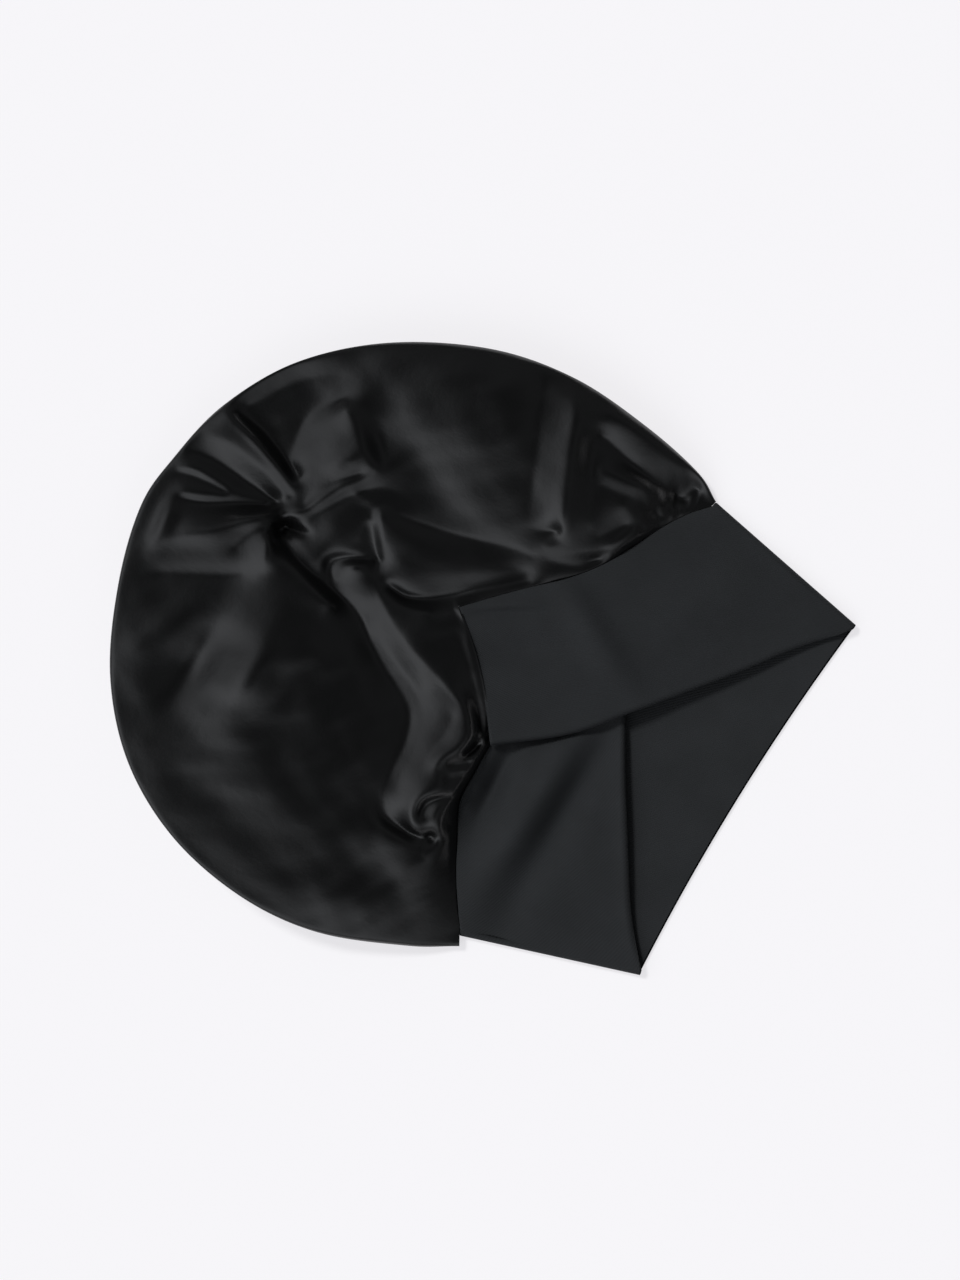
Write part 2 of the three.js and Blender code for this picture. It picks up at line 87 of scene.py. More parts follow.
# One row per section, from the band's right fold over the upper strip's tip to the left fold. The seam rises to
# lift; the satin reaches its full height a distance rise from it. The rows with rim 0 lie along the strip's end.
SECTION_COLUMNS = ("seam_x", "seam_y", "lift", "rise", "out_x", "out_y", "rim_x", "rim_y", "rim_lift")
SECTIONS = np.array([
    (127.0, 102.0, 5.0, 12, 130.0, 101.3, 110.0, 0.5, 5.0),
    (117.0, 110.5, 6.5, 14, 138.0, 118.0, 101.0, 8.5, 6.3),
    (104.0, 118.5, 8.5, 16, 144.0, 155.0, 91.0, 17.5, 7.5),
    (88.0, 126.0, 11.0, 9, 145.5, 203.0, 79.0, 27.0, 9.0),
    (70.0, 135.0, 14.0, 9, 135.0, 250.0, 61.0, 39.5, 10.5),
    (52.0, 148.0, 17.0, 14, 108.5, 299.0, 36.0, 58.5, 12.5),
    (36.0, 164.0, 19.5, 11, 73.0, 336.0, 9.0, 79.5, 15.0),
    (20.0, 179.0, 21.5, 10, 32.0, 357.5, -20.0, 103.0, 17.5),
    (6.5, 191.0, 23.0, 4, -7.0, 365.5, -48.5, 137.0, 19.5),
    (-11.0, 170.0, 22.5, 4, -38.0, 366.8, 0.0, 0.0, 0.0),
    (-29.0, 152.5, 20.0, 5, -80.0, 355.0, 0.0, 0.0, 0.0),
    (-48.5, 137.0, 13.5, 5, -125.0, 332.5, 4.0, 82.5, 8.0),
    (-66.0, 136.0, 12.5, 5, -160.0, 299.5, -22.0, 66.5, 8.2),
    (-84.0, 134.5, 11.0, 7, -182.0, 257.0, -46.0, 50.5, 8.2),
    (-102.0, 125.0, 9.5, 16, -190.0, 209.0, -66.0, 37.0, 7.9),
    (-119.0, 115.0, 8.0, 46, -185.0, 163.0, -84.0, 24.5, 7.2),
    (-134.0, 104.5, 6.5, 50, -166.0, 117.0, -99.0, 12.0, 6.2),
    (-144.0, 97.0, 5.0, 36, -151.5, 92.5, -110.0, 0.5, 5.0),
])
TIP, CROSSING, LAST = 8, 11, len(SECTIONS) - 1
# Mesh: runs of the crown's sections as first, last and rows; columns over the top and round each turn; lines of the
# band's tucked end, lower strip, back and upper strip; columns of the band to its rim and round it
CROWN_RUNS = ((0, 6, 103), (6, 10.5, 149), (10.5, LAST, 111))
TOP_COLUMNS, TURN_STEPS = 171, 15
TUCK_LINES, LOWER_LINES, BACK_LINES, UPPER_LINES = 41, 121, 91, 161
BAND_RUNS = ((0, 0.96, 57), (0.96, 0.9995, 13))
COLUMN = {name: i for i, name in enumerate(SECTION_COLUMNS)}
SEAM, OUTLINE, RIM = ([COLUMN[c] for c in names] for names in (
    ("seam_x", "seam_y", "lift", "rise"), ("out_x", "out_y"), ("rim_x", "rim_y", "rim_lift")))

# The lower strip's end under the upper strip: seam x, y, lift, rim x, y, lift
TUCKED_END = np.array([
    (-8.0, 166.0, 13.5, 34.0, 108.0, 8.5),
    (-27.0, 150.0, 13.5, 20.0, 95.0, 8.3),
    (-48.5, 137.0, 13.5, 4.0, 82.5, 8.0),
])

# Creases and ridges of the satin: a curve through the given points, each with the cloth's height
FOLDS = {
    "left pleat": ((-52, 351, 36), (-40, 340, 38.5), (-31, 329, 39), (-21, 319.5, 39.2), (-12, 311.5, 39.3),
                   (-6, 306.5, 37), (-3, 304, 31)),
    "shade in the left pleat": ((-31, 311.5, 33), (-23, 308.5, 34), (-14, 304.8, 35.2), (-8, 303.5, 33.5),
                                (-4, 303, 29)),
    "foot of the left pleat": ((-64, 340, 33), (-55, 323, 31), (-45, 306, 30.5), (-39, 299, 31)),
    "valley of the left pleat": ((-23, 351, 34), (-19.5, 341, 32), (-14, 331.5, 29.5), (-8, 321, 26.5),
                                 (-1.5, 308, 21)),
    "edge of the left pleat": ((-19, 352, 37.5), (-15.5, 342, 36), (-10.5, 333.5, 33), (-5.5, 326, 30),
                               (0.5, 310, 24)),
    "leaf": ((-12, 360, 34), (-8.5, 350, 33), (-7.8, 338, 31), (-7.5, 331, 29)),
    "edge of the leaf": ((-8, 361, 38), (-5, 350, 37), (-4.5, 338, 34), (-4.5, 328, 30.5)),
    "valley left of the tube": ((2, 360, 33), (4.5, 342, 30), (3.5, 322, 25), (2.8, 304, 20)),
    "tube": ((16, 358, 38), (17, 338, 36.5), (14, 318, 32), (8, 300, 25)),
    "groove of the tube": ((26, 355, 39.5), (22.5, 335, 36.5), (16.5, 314, 31.5), (8.8, 299.5, 24)),
    "edge of the tube": ((30, 355, 41), (26, 334, 40), (19.5, 313, 35), (10.5, 298.5, 26)),
    "valley right of the tube": ((34, 349, 32), (31, 330, 27), (22, 306, 20)),
    "far side of the sheet": ((38, 347, 29), (48, 340, 28), (60, 333.5, 28), (72, 322, 29), (79, 311, 31)),
    "sheet right of the tube": ((36, 328, 26), (46, 322, 26.5), (58, 319, 27), (68, 312, 29)),
    "valley above the bulge": ((20, 303, 22), (28, 311, 24), (42, 316, 25), (58, 314, 27.5), (72, 303, 31)),
    "left side of the bulge": ((18, 303, 24.5), (23, 300, 27.5), (30, 296, 30), (38, 289, 34), (45, 281, 38)),
    "top of the bulge": ((46, 268, 37.5), (51, 278, 39), (58, 286, 39), (64, 294, 38), (66, 301, 36)),
    "pocket beside the bulge": ((52, 266, 34), (61, 274, 33), (70, 283, 34)),
    "lip of the bulge": ((10, 293.5, 25.5), (18, 290.5, 28), (29, 286.5, 31), (42, 277, 36)),
    "tuck crease": ((8, 291.5, 25.5), (16, 288.5, 28.3), (28, 283.5, 29.7), (41, 273.5, 32.2)),
    "tuck": ((-0.5, 294.5, 28), (14, 286, 30.6), (28, 279, 32.2), (46, 266, 35)),
    "corner of the left lobe": ((-29, 292, 38), (-18, 295.5, 39.5), (-9, 300, 38.5), (-2.5, 303.3, 30)),
    "edge of the left lobe": ((-12, 300, 29), (-17, 290, 31), (-21, 279, 31), (-25, 265, 31.5), (-29, 250, 32)),
    "left crease": ((-9, 299, 15), (-13, 291, 21), (-17.5, 281, 25), (-20.5, 266, 23.5), (-22, 252, 19.5),
                    (-24, 240, 17.5), (-28, 231, 17)),
    "slit": ((-6, 296, 14), (-5, 289.5, 17), (-4, 285, 20.5), (-2.2, 280, 25)),
    "right of the slit": ((-2, 294, 23.5), (-0.8, 288, 24.8), (0.5, 282, 25.8), (2.5, 276, 26.5)),
    "slit above the wedge": ((-17, 257, 19.5), (-13, 262.5, 20), (-8, 263, 20.5), (-3, 257, 20.5), (3, 246.5, 20)),
    "wedge": ((-9, 256, 24), (-4, 250, 28), (1.5, 243, 23)),
    "web": ((-9, 289, 24), (-8, 282, 26), (-12, 275, 26.3), (-12, 269, 26.3), (4, 270, 27), (22, 268, 27),
            (25, 258, 27), (17, 259, 26.5), (9, 257, 26)),
    "edge of the web": ((-15.5, 265.5, 25), (-8, 267, 25.7), (-1.5, 261, 25.6), (4, 251.5, 24.3)),
    "below the tuck": ((5, 285.5, 26.5), (17, 278.5, 27), (27, 272.5, 27.5), (38, 262, 29), (42, 250, 29)),
    "flare hollow": ((4.5, 241, 17), (11, 248, 20), (19, 256, 24)),
    "flare": ((6, 238.5, 21), (17, 246, 27), (29, 253.5, 31)),
    "tongue": ((2, 240.5, 20), (-7, 235, 24), (-18, 221, 26), (-26, 203, 26.5), (-32, 180, 28),
               (-37, 162, 30.5), (-43, 152, 30.5)),
    "hem of the tongue": ((-9, 235.5, 23), (-20, 221, 24.5), (-28, 203, 25), (-34, 180, 26.5), (-39, 163, 29)),
    "lip at the strip": ((1, 194, 24.8), (-14, 174, 24.2), (-31, 156, 21.5), (-44, 144, 18)),
    "inner edge of the tongue": ((-5, 233, 21), (-9, 216, 25), (-5, 202, 27)),
    "hollow at the tongue": ((-4, 229, 17.5), (-4, 218, 16.5), (2, 206.5, 17.5)),
    "hollow along the strip": ((2, 206.5, 17.5), (21, 185, 18.5), (38.5, 165.5, 17)),
    "fold beside the strip": ((0.5, 233, 23), (0.5, 218, 20.5), (7, 205.5, 20), (24.5, 187.5, 20),
                              (42, 168.5, 19.5)),
    "groove beside the strip": ((10, 231, 24.5), (17, 212, 23), (28, 194, 22.5), (41, 176, 20.5)),
    "roll of the right lobe": ((29, 277, 31), (32, 255, 28), (37, 228, 25.6), (42, 210, 24.9),
                               (50, 188, 24.6), (54, 168, 24)),
    "foot of the roll": ((30.5, 246, 25.6), (35, 228, 23.8), (40, 209.5, 23), (48, 187.5, 22.8), (51.5, 170, 22.5)),
    "end of the left crease": ((-28, 231, 17), (-36, 221, 17), (-43, 209, 17), (-48, 198, 17.5), (-54, 187, 18.7),
                               (-63, 179.5, 20.5), (-75, 176.5, 23), (-88, 175.5, 24.5), (-101, 173.5, 25.5),
                               (-111.5, 165, 24), (-112.5, 150, 23), (-108, 136, 20)),
    "face of the tongue": ((-32, 221, 19), (-36, 209, 19), (-40, 198, 19.3), (-45, 187, 20.3), (-53, 178.5, 22),
                           (-66, 172.5, 24), (-80, 170.5, 25.5), (-96, 168.5, 27)),
    "face above the crumples": ((-78, 163, 28.5), (-64, 162, 28), (-52, 161, 27.5), (-46, 163, 27)),
    "puff at the left seam": ((-110, 140, 29), (-109, 148, 32), (-102, 152.5, 34), (-93, 153.5, 34.5), (-86, 148, 33),
                              (-81, 141, 29)),
    "first pocket": ((-101, 148.5, 28), (-94, 149.5, 27), (-88, 145, 26), (-83, 139, 23)),
    "inner fold": ((-105, 130.5, 26), (-101, 139, 31), (-92, 142.5, 31), (-86, 138.5, 28)),
    "pocket of the inner fold": ((-98, 131, 23), (-95, 136, 26), (-89, 136, 25)),
    "second pocket": ((-77, 147, 28), (-73, 142, 25.5), (-70, 138.5, 22)),
    "first ridge": ((-74, 152, 30.5), (-70, 146, 30), (-66, 140, 27.5)),
    "second ridge": ((-80, 148, 32), (-73, 155.5, 33), (-66, 154, 33.5), (-59, 149, 33),
                     (-53, 147, 32), (-46, 150, 31.5)),
    "third ridge": ((-64, 149.5, 30.5), (-61, 143.5, 28), (-56, 139.5, 24)),
    "third pocket": ((-69, 149, 26.5), (-66, 144.5, 25), (-62, 140, 22)),
    "fourth pocket": ((-61, 144.5, 21), (-56, 143.3, 18), (-50, 142, 16)),
    "side puff": ((-120, 136, 27), (-117.5, 149, 31), (-117, 163, 31.5)),
    "right fold": ((70, 164, 33), (80, 169, 37), (95, 176, 39), (118, 186, 41), (138, 196, 41)),
    "left of the right fold": ((61, 184, 27), (66, 173, 25.5), (70, 166, 25.5)),
    "above the right fold": ((64, 184, 28), (78, 190, 29), (95, 198, 30), (116, 208, 31), (136, 217, 32)),
    "below the right fold": ((82, 152, 30), (100, 163, 31), (122, 177, 33)),
    "groove at the right seam": ((53, 166, 24), (57, 152, 22), (61, 142, 19)),
    "crumple at the right seam": ((60, 168, 27), (66, 155, 26.5), (71, 144, 24.5), (73, 137, 20)),
    "pocket at the right seam": ((62.5, 144, 19), (66, 141.5, 17.5), (69, 139, 16.5)),
    "first gather": ((95, 127, 22), (101, 144, 31)),
    "sheet at the right seam": ((78, 147, 25.5), (86, 141, 25), (93, 137, 24)),
    "second gather": ((115.5, 121, 22), (115, 137, 32), (113, 150, 34), (110.5, 164, 34)),
    "third gather": ((130, 113, 21), (136.5, 130, 35), (139.5, 152, 39), (140.5, 175, 40)),
    "between the first gathers": ((106, 122, 19), (106, 140, 29), (103, 160, 30.5)),
    "between the last gathers": ((121.5, 117, 17.5), (121, 133, 27), (123, 155, 28), (127, 174, 30)),
}
# Membrane: corners of its plan grid, cell, reach of a fold, sweeps and their stride, pull of a fold's points,
# rounding of the ridges and last softening, both in cells
MEMBRANE_LOW, MEMBRANE_HIGH = (-210.0, 75.0), (170.0, 390.0)
MEMBRANE_CELL = 1.0
MEMBRANE_REACH = 26.0
MEMBRANE_SWEEPS, SWEEP_STRIDE = 240, 1.9
FOLD_STEPS, FOLD_PULL = 400, 8.0
RIDGE_SPREAD, LAST_SPREAD = 2.4, 1.0
ROUNDING = 0.8

# Soft swells and dents of the lobes: middle x, y, direction in degrees, half length, half width, height
SWELLS = (
    (-82, 266, 5, 28, 13, 7.5), (-93, 298, 3, 28, 12, -7.5), (-102, 328, -28, 24, 9, 2.0),
    (-38, 351, 10, 16, 5, 2.5), (-56, 240, -60, 22, 10, 1.5), (-130, 224, 60, 24, 12, 1.5),
    (-150, 250, 75, 30, 12, -1.5), (-110, 232, 20, 24, 14, -1.0), (108, 218, 25, 42, 22, 4.0),
    (72, 278, 15, 22, 14, -3.0), (112, 252, 105, 60, 34, 6.0), (54, 245, 80, 36, 20, -5.5),
    (-142, 150, 80, 26, 16, -5.0),
)
# Faint uneven waves of the loose satin: direction in degrees, length, height, start
RIPPLES = ((12, 31, 0.2, 0.4), (71, 26, 0.16, 2.1), (128, 37, 0.22, 4.4), (158, 19, 0.09, 1.3), (44, 15, 0.07, 5.2))
# Wrinkles of the band's two front strips, in the same columns
LOWER_WRINKLES = (
    (-62, 99, -2, 55, 10, 7.5), (-66, 123, 6, 26, 7, -8.5), (-74, 82, 2, 56, 10, -4.5),
    (-50, 42, 35.7, 62, 9, 3.0), (-26, 112, -51, 32, 5, -3.0),
)
UPPER_WRINKLES = (
    (34, 122, 65, 34, 9, 4.0), (6, 146, -65, 26, 11, -3.0), (17, 174, -50, 9, 2.2, 1.4),
    (13, 176, -52, 10, 2.2, -1.6), (26, 162, -55, 12, 3, 1.2), (21, 162, -58, 12, 3, -1.2),
    (80, 72, -40, 50, 14, 2.0),
)


def smooth(k):
    """Eased step: three k squared less two k cubed."""
    return k * k * (3 - 2 * k)


def mix(a, b, k):
    """Straight blend from a to b."""
    return a + (b - a) * k


def runs(table):
    """Evenly spaced values along runs given as first, last and count, up to and with the last value."""
    return np.concatenate([np.linspace(a, b, n, endpoint=False) for a, b, n in table] + [table[-1][1:2]])


def through(column, u):
    """Smooth curve through the rows of a table at fractional rows u: a cubic whose slope at a row is half the
    step between the rows on both sides of it."""
    column, u = np.asarray(column, float), np.asarray(u, float)
    padded = np.vstack([2 * column[0] - column[1], column, 2 * column[-1] - column[-2]])
    i = np.clip(np.floor(u).astype(int), 0, len(column) - 2)
    k = (u - i)[..., None]
    p0, p1, p2, p3 = (padded[i + n] for n in range(4))
    turn = 2 * p0 - 5 * p1 + 4 * p2 - p3
    bend = -p0 + 3 * p1 - 3 * p2 + p3
    return p1 + 0.5 * k * (p2 - p0 + k * (turn + k * bend))


def seam_at(s):
    """The seam's plan point, height and climb at section s, in three runs that meet at sharp corners."""
    s = np.asarray(s, float)
    right = through(SECTIONS[:TIP + 1, SEAM], np.clip(s, 0, TIP))
    end = through(SECTIONS[TIP:CROSSING + 1, SEAM], np.clip(s - TIP, 0, CROSSING - TIP))
    left = through(SECTIONS[CROSSING:, SEAM], np.clip(s - CROSSING, 0, LAST - CROSSING))
    return np.where(s[..., None] < TIP, right, np.where(s[..., None] < CROSSING, end, left))


def outline_at(s):
    """The crown's widest line in plan at section s."""
    return through(SECTIONS[:, OUTLINE], s)


def distance_to(points, line):
    """Shortest plan distance from each point to a line of short straight runs, worked out block by block."""
    a, run = line[:-1], line[1:] - line[:-1]
    block = 8000
    best = np.full(len(points), np.inf)
    for start in range(0, len(points), block):
        p = points[start:start + block, None, :] - a
        k = np.clip((p * run).sum(-1) / (run * run).sum(-1), 0, 1)
        best[start:start + block] = np.sqrt(((p - k[..., None] * run) ** 2).sum(-1)).min(1)
    return best


def swell_height(xy, rows):
    """Sum of soft oval bumps, each falling off as a bell along and across its direction."""
    total = np.zeros(len(xy))
    for x, y, turn, long, wide, height in rows:
        c, s = math.cos(math.radians(turn)), math.sin(math.radians(turn))
        dx, dy = xy[:, 0] - x, xy[:, 1] - y
        total += height * np.exp(-((dx * c + dy * s) / long) ** 2 - ((dy * c - dx * s) / wide) ** 2)
    return total


def satin_membrane():
    """Heights on a plan grid: a soft skin that tends to lobe height, held at the given heights along the folds and
    relaxed by red and black sweeps until each cell is the mean of its neighbours and its own pull. Ridges are then
    rounded and valleys stay sharp: the lower of the skin and its softened copy, with the change eased."""
    nx, ny = (int(round((b - a) / MEMBRANE_CELL)) + 1 for a, b in zip(MEMBRANE_LOW, MEMBRANE_HIGH))
    hold, held = np.zeros((ny, nx)), np.zeros((ny, nx))
    for fold in FOLDS.values():
        line = through(fold, np.linspace(0, len(fold) - 1, FOLD_STEPS))
        f = (line[:, :2] - MEMBRANE_LOW) / MEMBRANE_CELL
        i = np.floor(f).astype(int)
        f -= i
        weight = FOLD_PULL * np.linalg.norm(np.diff(line, axis=0), axis=1).sum() / FOLD_STEPS / MEMBRANE_CELL
        for dx, dy in ((0, 0), (1, 0), (0, 1), (1, 1)):
            share = weight * np.abs(1 - dx - f[:, 0]) * np.abs(1 - dy - f[:, 1])
            np.add.at(hold, (i[:, 1] + dy, i[:, 0] + dx), share)
            np.add.at(held, (i[:, 1] + dy, i[:, 0] + dx), share * line[:, 2])
    puff = (MEMBRANE_CELL / MEMBRANE_REACH) ** 2
    weight, pull = 4 + puff + hold, puff * LOBE_HEIGHT + held
    skin = np.full((ny + 2, nx + 2), LOBE_HEIGHT)
    chequer = np.add.outer(np.arange(ny), np.arange(nx)) % 2
    for sweep in range(2 * MEMBRANE_SWEEPS):
        beside = skin[:-2, 1:-1] + skin[2:, 1:-1] + skin[1:-1, :-2] + skin[1:-1, 2:]
        inner = skin[1:-1, 1:-1]
        inner += np.where(chequer == sweep % 2, SWEEP_STRIDE * ((beside + pull) / weight - inner), 0)
        skin[0], skin[-1], skin[:, 0], skin[:, -1] = skin[1], skin[-2], skin[:, 1], skin[:, -2]
    skin = skin[1:-1, 1:-1]
    rounded = -ROUNDING * np.logaddexp(-skin / ROUNDING, -soften(skin, RIDGE_SPREAD) / ROUNDING)
    return soften(rounded, LAST_SPREAD)


def soften(field, spread):
    """Bell-shaped smoothing of a grid, first one way and then the other."""
    reach = int(3 * spread) + 1
    bell = np.exp(-0.5 * (np.arange(-reach, reach + 1) / spread) ** 2)
    bell /= bell.sum()
    for axis in (0, 1):
        wide = np.pad(field, [(reach, reach) if a == axis else (0, 0) for a in (0, 1)], mode="edge")
        field = sum(b * np.take(wide, np.arange(n, n + field.shape[axis]), axis) for n, b in enumerate(bell))
    return field


def read_grid(field, xy):
    """Value of a plan grid at points, blended between the four cells around each."""
    f = np.clip((xy - MEMBRANE_LOW) / MEMBRANE_CELL, 0, np.array(field.shape[::-1]) - 1.001)
    i = f.astype(int)
    fx, fy = (f - i).T
    x, y = i.T
    low = mix(field[y, x], field[y, x + 1], fx)
    return mix(low, mix(field[y + 1, x], field[y + 1, x + 1], fx), fy)


def from_fold(s):
    """0 at the band's side folds, eased to 1 three sections in."""
    return smooth(np.clip(np.minimum(s, LAST - s) / 3, 0, 1))


def over_strip_end(s):
    """1 along the upper strip's end, eased to 0 at its tip and at the crossing."""
    return smooth(np.clip(np.minimum(s - TIP, CROSSING - s) / END_EASE, 0, 1))


def crown_top(s, across, xy):
    """Height of the crown's top: a dome that rises a little right at the outline and then as a parabola, plus the
    satin's relief, which is how far the membrane with its swells and ripples lies above or below lobe height and
    fades out at the outline. From the seam the top climbs as a parabola out of the straight line between seam and
    outline; small gathers start at the seam."""
    line_s = np.linspace(0, LAST, 240)
    seam = seam_at(s)
    widest = mix(CORNER_HEIGHT, WIDEST_HEIGHT, from_fold(s))
    base = mix(seam[:, 2] + SEAM_STAND + END_STAND * over_strip_end(s), widest, across)
    from_seam = distance_to(xy, seam_at(line_s)[:, :2])
    from_outline = distance_to(xy, outline_at(line_s))
    u, v = np.clip(from_seam / seam[:, 3], 0, 1), np.clip(from_outline / DOME_REACH, 0, 1)
    risen = ROLL_SHARE * (1 - np.exp(-from_outline / ROLL_REACH)) + (1 - ROLL_SHARE) * (1 - (1 - v) ** 2)
    dome = mix(widest, LOBE_HEIGHT, risen)
    relief = read_grid(satin_membrane(), xy) - LOBE_HEIGHT + swell_height(xy, SWELLS) + ripples(xy)
    top = dome + relief * (1 - np.exp(-from_outline / RELIEF_REACH))
    return mix(base, top, 1 - (1 - u) ** 2) + gathers(s, from_seam) * np.clip(v * 7, 0, 1)


def ripples(xy):
    """Sum of plane waves whose phase is bent by two slower waves."""
    x, y = xy.T
    bend = 7 * np.sin(x / 31 + 0.7) * np.sin(y / 23) + 6 * np.sin(y / 37 - x / 61)
    total = np.zeros(len(xy))
    for turn, length, height, start in RIPPLES:
        c, s = math.cos(math.radians(turn)), math.sin(math.radians(turn))
        total += height * np.sin(2 * np.pi * (x * c + y * s + bend) / length + start)
    return total


def gathers(s, from_seam):
    """Small pleats that start at the seam: uneven waves along it that rise over a few millimetres and fade inwards,
    tight near the right corner and faint near the left one."""
    line_s = np.linspace(0, LAST, 2000)
    run = np.linalg.norm(np.diff(seam_at(line_s)[:, :2], axis=0), axis=1)
    along = np.interp(s, line_s, np.concatenate([[0], np.cumsum(run)]))
    fine = np.sin(along * 1.36 + 2.2 * np.sin(along * 0.11))
    coarse = np.sin(along * 0.74 + 2.2 * np.sin(along * 0.07))
    tight = np.exp(-((s - 1.2) / 0.9) ** 2) + 0.2 * np.exp(-((s - 15.2) / 0.8) ** 2)
    reach = mix(5.0, 8.0, 0.5 + 0.5 * np.sin(along * 0.23))
    return GATHER_HEIGHT * tight * (fine + 0.5 * coarse) * (from_seam / reach) * np.exp(1 - from_seam / reach)


def side_pleats(outline, turn):
    """Depth of soft pleats on the crown's side: uneven waves along the outline that slant with height and fade out
    at the outline and at the table."""
    run = np.concatenate([[0], np.cumsum(np.linalg.norm(np.diff(outline, axis=0), axis=1))])[:, None]
    slant = run + 6 * turn * np.sin(run / 47)
    wave = np.sin(slant / 3.1 + 2.0 * np.sin(slant / 23)) + 0.7 * np.sin(slant / 5.3 + 2.4 * np.sin(slant / 37))
    return (SIDE_PLEAT + SIDE_PLEAT_WAVE * wave) * np.sin(2 * turn)


def crown_grid():
    """Sections of the crown from a seam allowance under the band's edge up to the front seam, over the top, down the
    pleated side as a quarter of an oval and flat along the table to the back seam, as an array of rows by columns by
    xyz in millimetres. The rows lie closest at the pleated front."""
    s = runs(CROWN_RUNS)
    k = np.linspace(0, 1, TOP_COLUMNS)
    across = mix(k, 0.5 - 0.5 * np.cos(np.pi * k), 0.55)
    seam, outline = seam_at(s)[:, :2], outline_at(s)
    back = mix(SECTIONS[0, :2], SECTIONS[LAST, :2], (s / LAST)[:, None])
    plan = mix(seam[:, None], outline[:, None], across[None, :, None])
    flat_s, flat_k = np.repeat(s, len(k)), np.tile(across, len(s))
    top = crown_top(flat_s, flat_k, plan.reshape(-1, 2)).reshape(len(s), len(k), 1)
    ahead = np.gradient(outline, axis=0)
    square = np.stack([-ahead[:, 1], ahead[:, 0]], 1) / np.linalg.norm(ahead, axis=1, keepdims=True)
    home = (back - outline) / np.linalg.norm(back - outline, axis=1, keepdims=True)
    inward = mix(home, square, 0.8 * from_fold(s)[:, None])
    inward /= np.linalg.norm(inward, axis=1, keepdims=True)
    turn = np.linspace(0, np.pi / 2, TURN_STEPS)[1:]
    roll = mix(CORNER_ROLL, UNDER_ROLL, from_fold(s))
    widest = mix(CORNER_HEIGHT, WIDEST_HEIGHT, from_fold(s))
    step = roll[:, None] * (1 - np.cos(turn)) + side_pleats(outline, turn) * from_fold(s)[:, None]
    rolled = np.dstack([outline[:, None] + inward[:, None] * step[..., None],
                        (widest[:, None] * (1 - np.sin(turn)))[..., None]])
    foot = rolled[:, -1, :2]
    under = mix(foot[:, None], back[:, None], np.linspace(0, 1, TURN_STEPS)[None, 1:, None])
    under = np.dstack([under, np.zeros(under.shape[:2] + (1,))])
    out = plan[:, :1] - plan[:, 1:2]
    out /= np.linalg.norm(out, axis=2, keepdims=True)
    lip = over_strip_end(s)[:, None, None]
    reach = mix(np.array([FLANGE, 0.0]), np.array([LIP, 0.5 * LIP]), lip[..., 0])[..., None]
    flange = np.dstack([plan[:, :1] + out * reach, top[:, :1] - FLANGE_DROP * (1 - lip) + np.zeros((1, 2, 1))])
    grid = np.concatenate([flange, np.dstack([plan, top]), rolled, under], axis=1)
    grid[..., 2] = np.maximum(grid[..., 2], TABLE_GAP)
    return grid


def grid_mesh(name, grid, ring=False):
    """Mesh of a grid of points, a quad between each four neighbours, with its own UV map in metres along both ways.
    A ring joins its last column to its first and closes both ends with a face."""
    rows, columns = grid.shape[:2]
    points = (grid + PLAN_SHIFT).reshape(-1, 3) * 0.001
    j = np.arange(columns if ring else columns - 1)
    i = np.arange(rows - 1)[:, None]
    a, b = i * columns + j, i * columns + (j + 1) % columns
    quads = np.stack([a, b, b + columns, a + columns], -1).reshape(-1, 4)
    faces = quads.tolist()
    if ring:
        first, last = list(range(columns)), list(range((rows - 1) * columns, rows * columns))
        faces += [first[::-1], last]
    mesh = bpy.data.meshes.new(name)
    mesh.from_pydata(points.tolist(), [], faces)
    along = np.linalg.norm(np.diff(grid, axis=0), axis=2).mean(1)
    round_ = np.linalg.norm(np.diff(grid, axis=1), axis=2).mean(0)
    u = np.repeat(np.concatenate([[0], np.cumsum(along)]), columns)
    v = np.tile(np.concatenate([[0], np.cumsum(round_)]), rows)
    corner = np.empty(len(mesh.loops), np.int32)
    mesh.loops.foreach_get("vertex_index", corner)
    uv = mesh.uv_layers.new(name="cloth")
    uv.data.foreach_set("uv", (np.stack([u, v], 1)[corner] * 0.001).astype(np.float32).ravel())
    mesh.polygons.foreach_set("use_smooth", np.ones(len(mesh.polygons), bool))
    mesh.update()
    piece = bpy.data.objects.new(name, mesh)
    bpy.context.scene.collection.objects.link(piece)
    return piece


def band_lines(seam, rim, across):
    """Crosswise lines of the band's middle: straight in plan from the seam edge to the free edge, eased in
    height."""
    gap = SEAM_GAP / np.linalg.norm(rim[:, :2] - seam[:, :2], axis=1)
    k = mix(gap[:, None], 1.0, across)
    plan = mix(seam[:, None, :2], rim[:, None, :2], k[..., None])
    height = mix(seam[:, 2:3], rim[:, 2:3], smooth(k))
    return np.dstack([plan, height])


def rim_turn(across):
    """Drop of a strip's free edge, which turns down as a quarter round over its last millimetres."""
    t = np.clip((across - 1) * BAND_WIDTH / RIM_ROUND + 1, 0, 1)
    return RIM_ROUND * (1 - np.sqrt(1 - t * t))


def side_fold(row, side, rising, across):
    """Half turn of the band about a side fold: a small half circle carried along the fold line."""
    seam, rim = SECTIONS[row, SEAM][:3], SECTIONS[row, RIM]
    line = band_lines(seam[None], rim[None], across)
    run = (rim - seam)[:2] / np.linalg.norm((rim - seam)[:2])
    outward = np.array([-run[1], run[0]]) * side
    turn = np.linspace(-0.5, 0.5, TURN_STEPS)[1:-1] * np.pi * (1 if rising else -1)
    lines = np.repeat(line, len(turn), axis=0)
    lines[..., :2] += outward * (FOLD_RADIUS * np.cos(turn))[:, None, None]
    lines[..., 2] = (BAND_WALL / 2 + FOLD_RADIUS * (1 + np.sin(turn)))[:, None]
    return lines


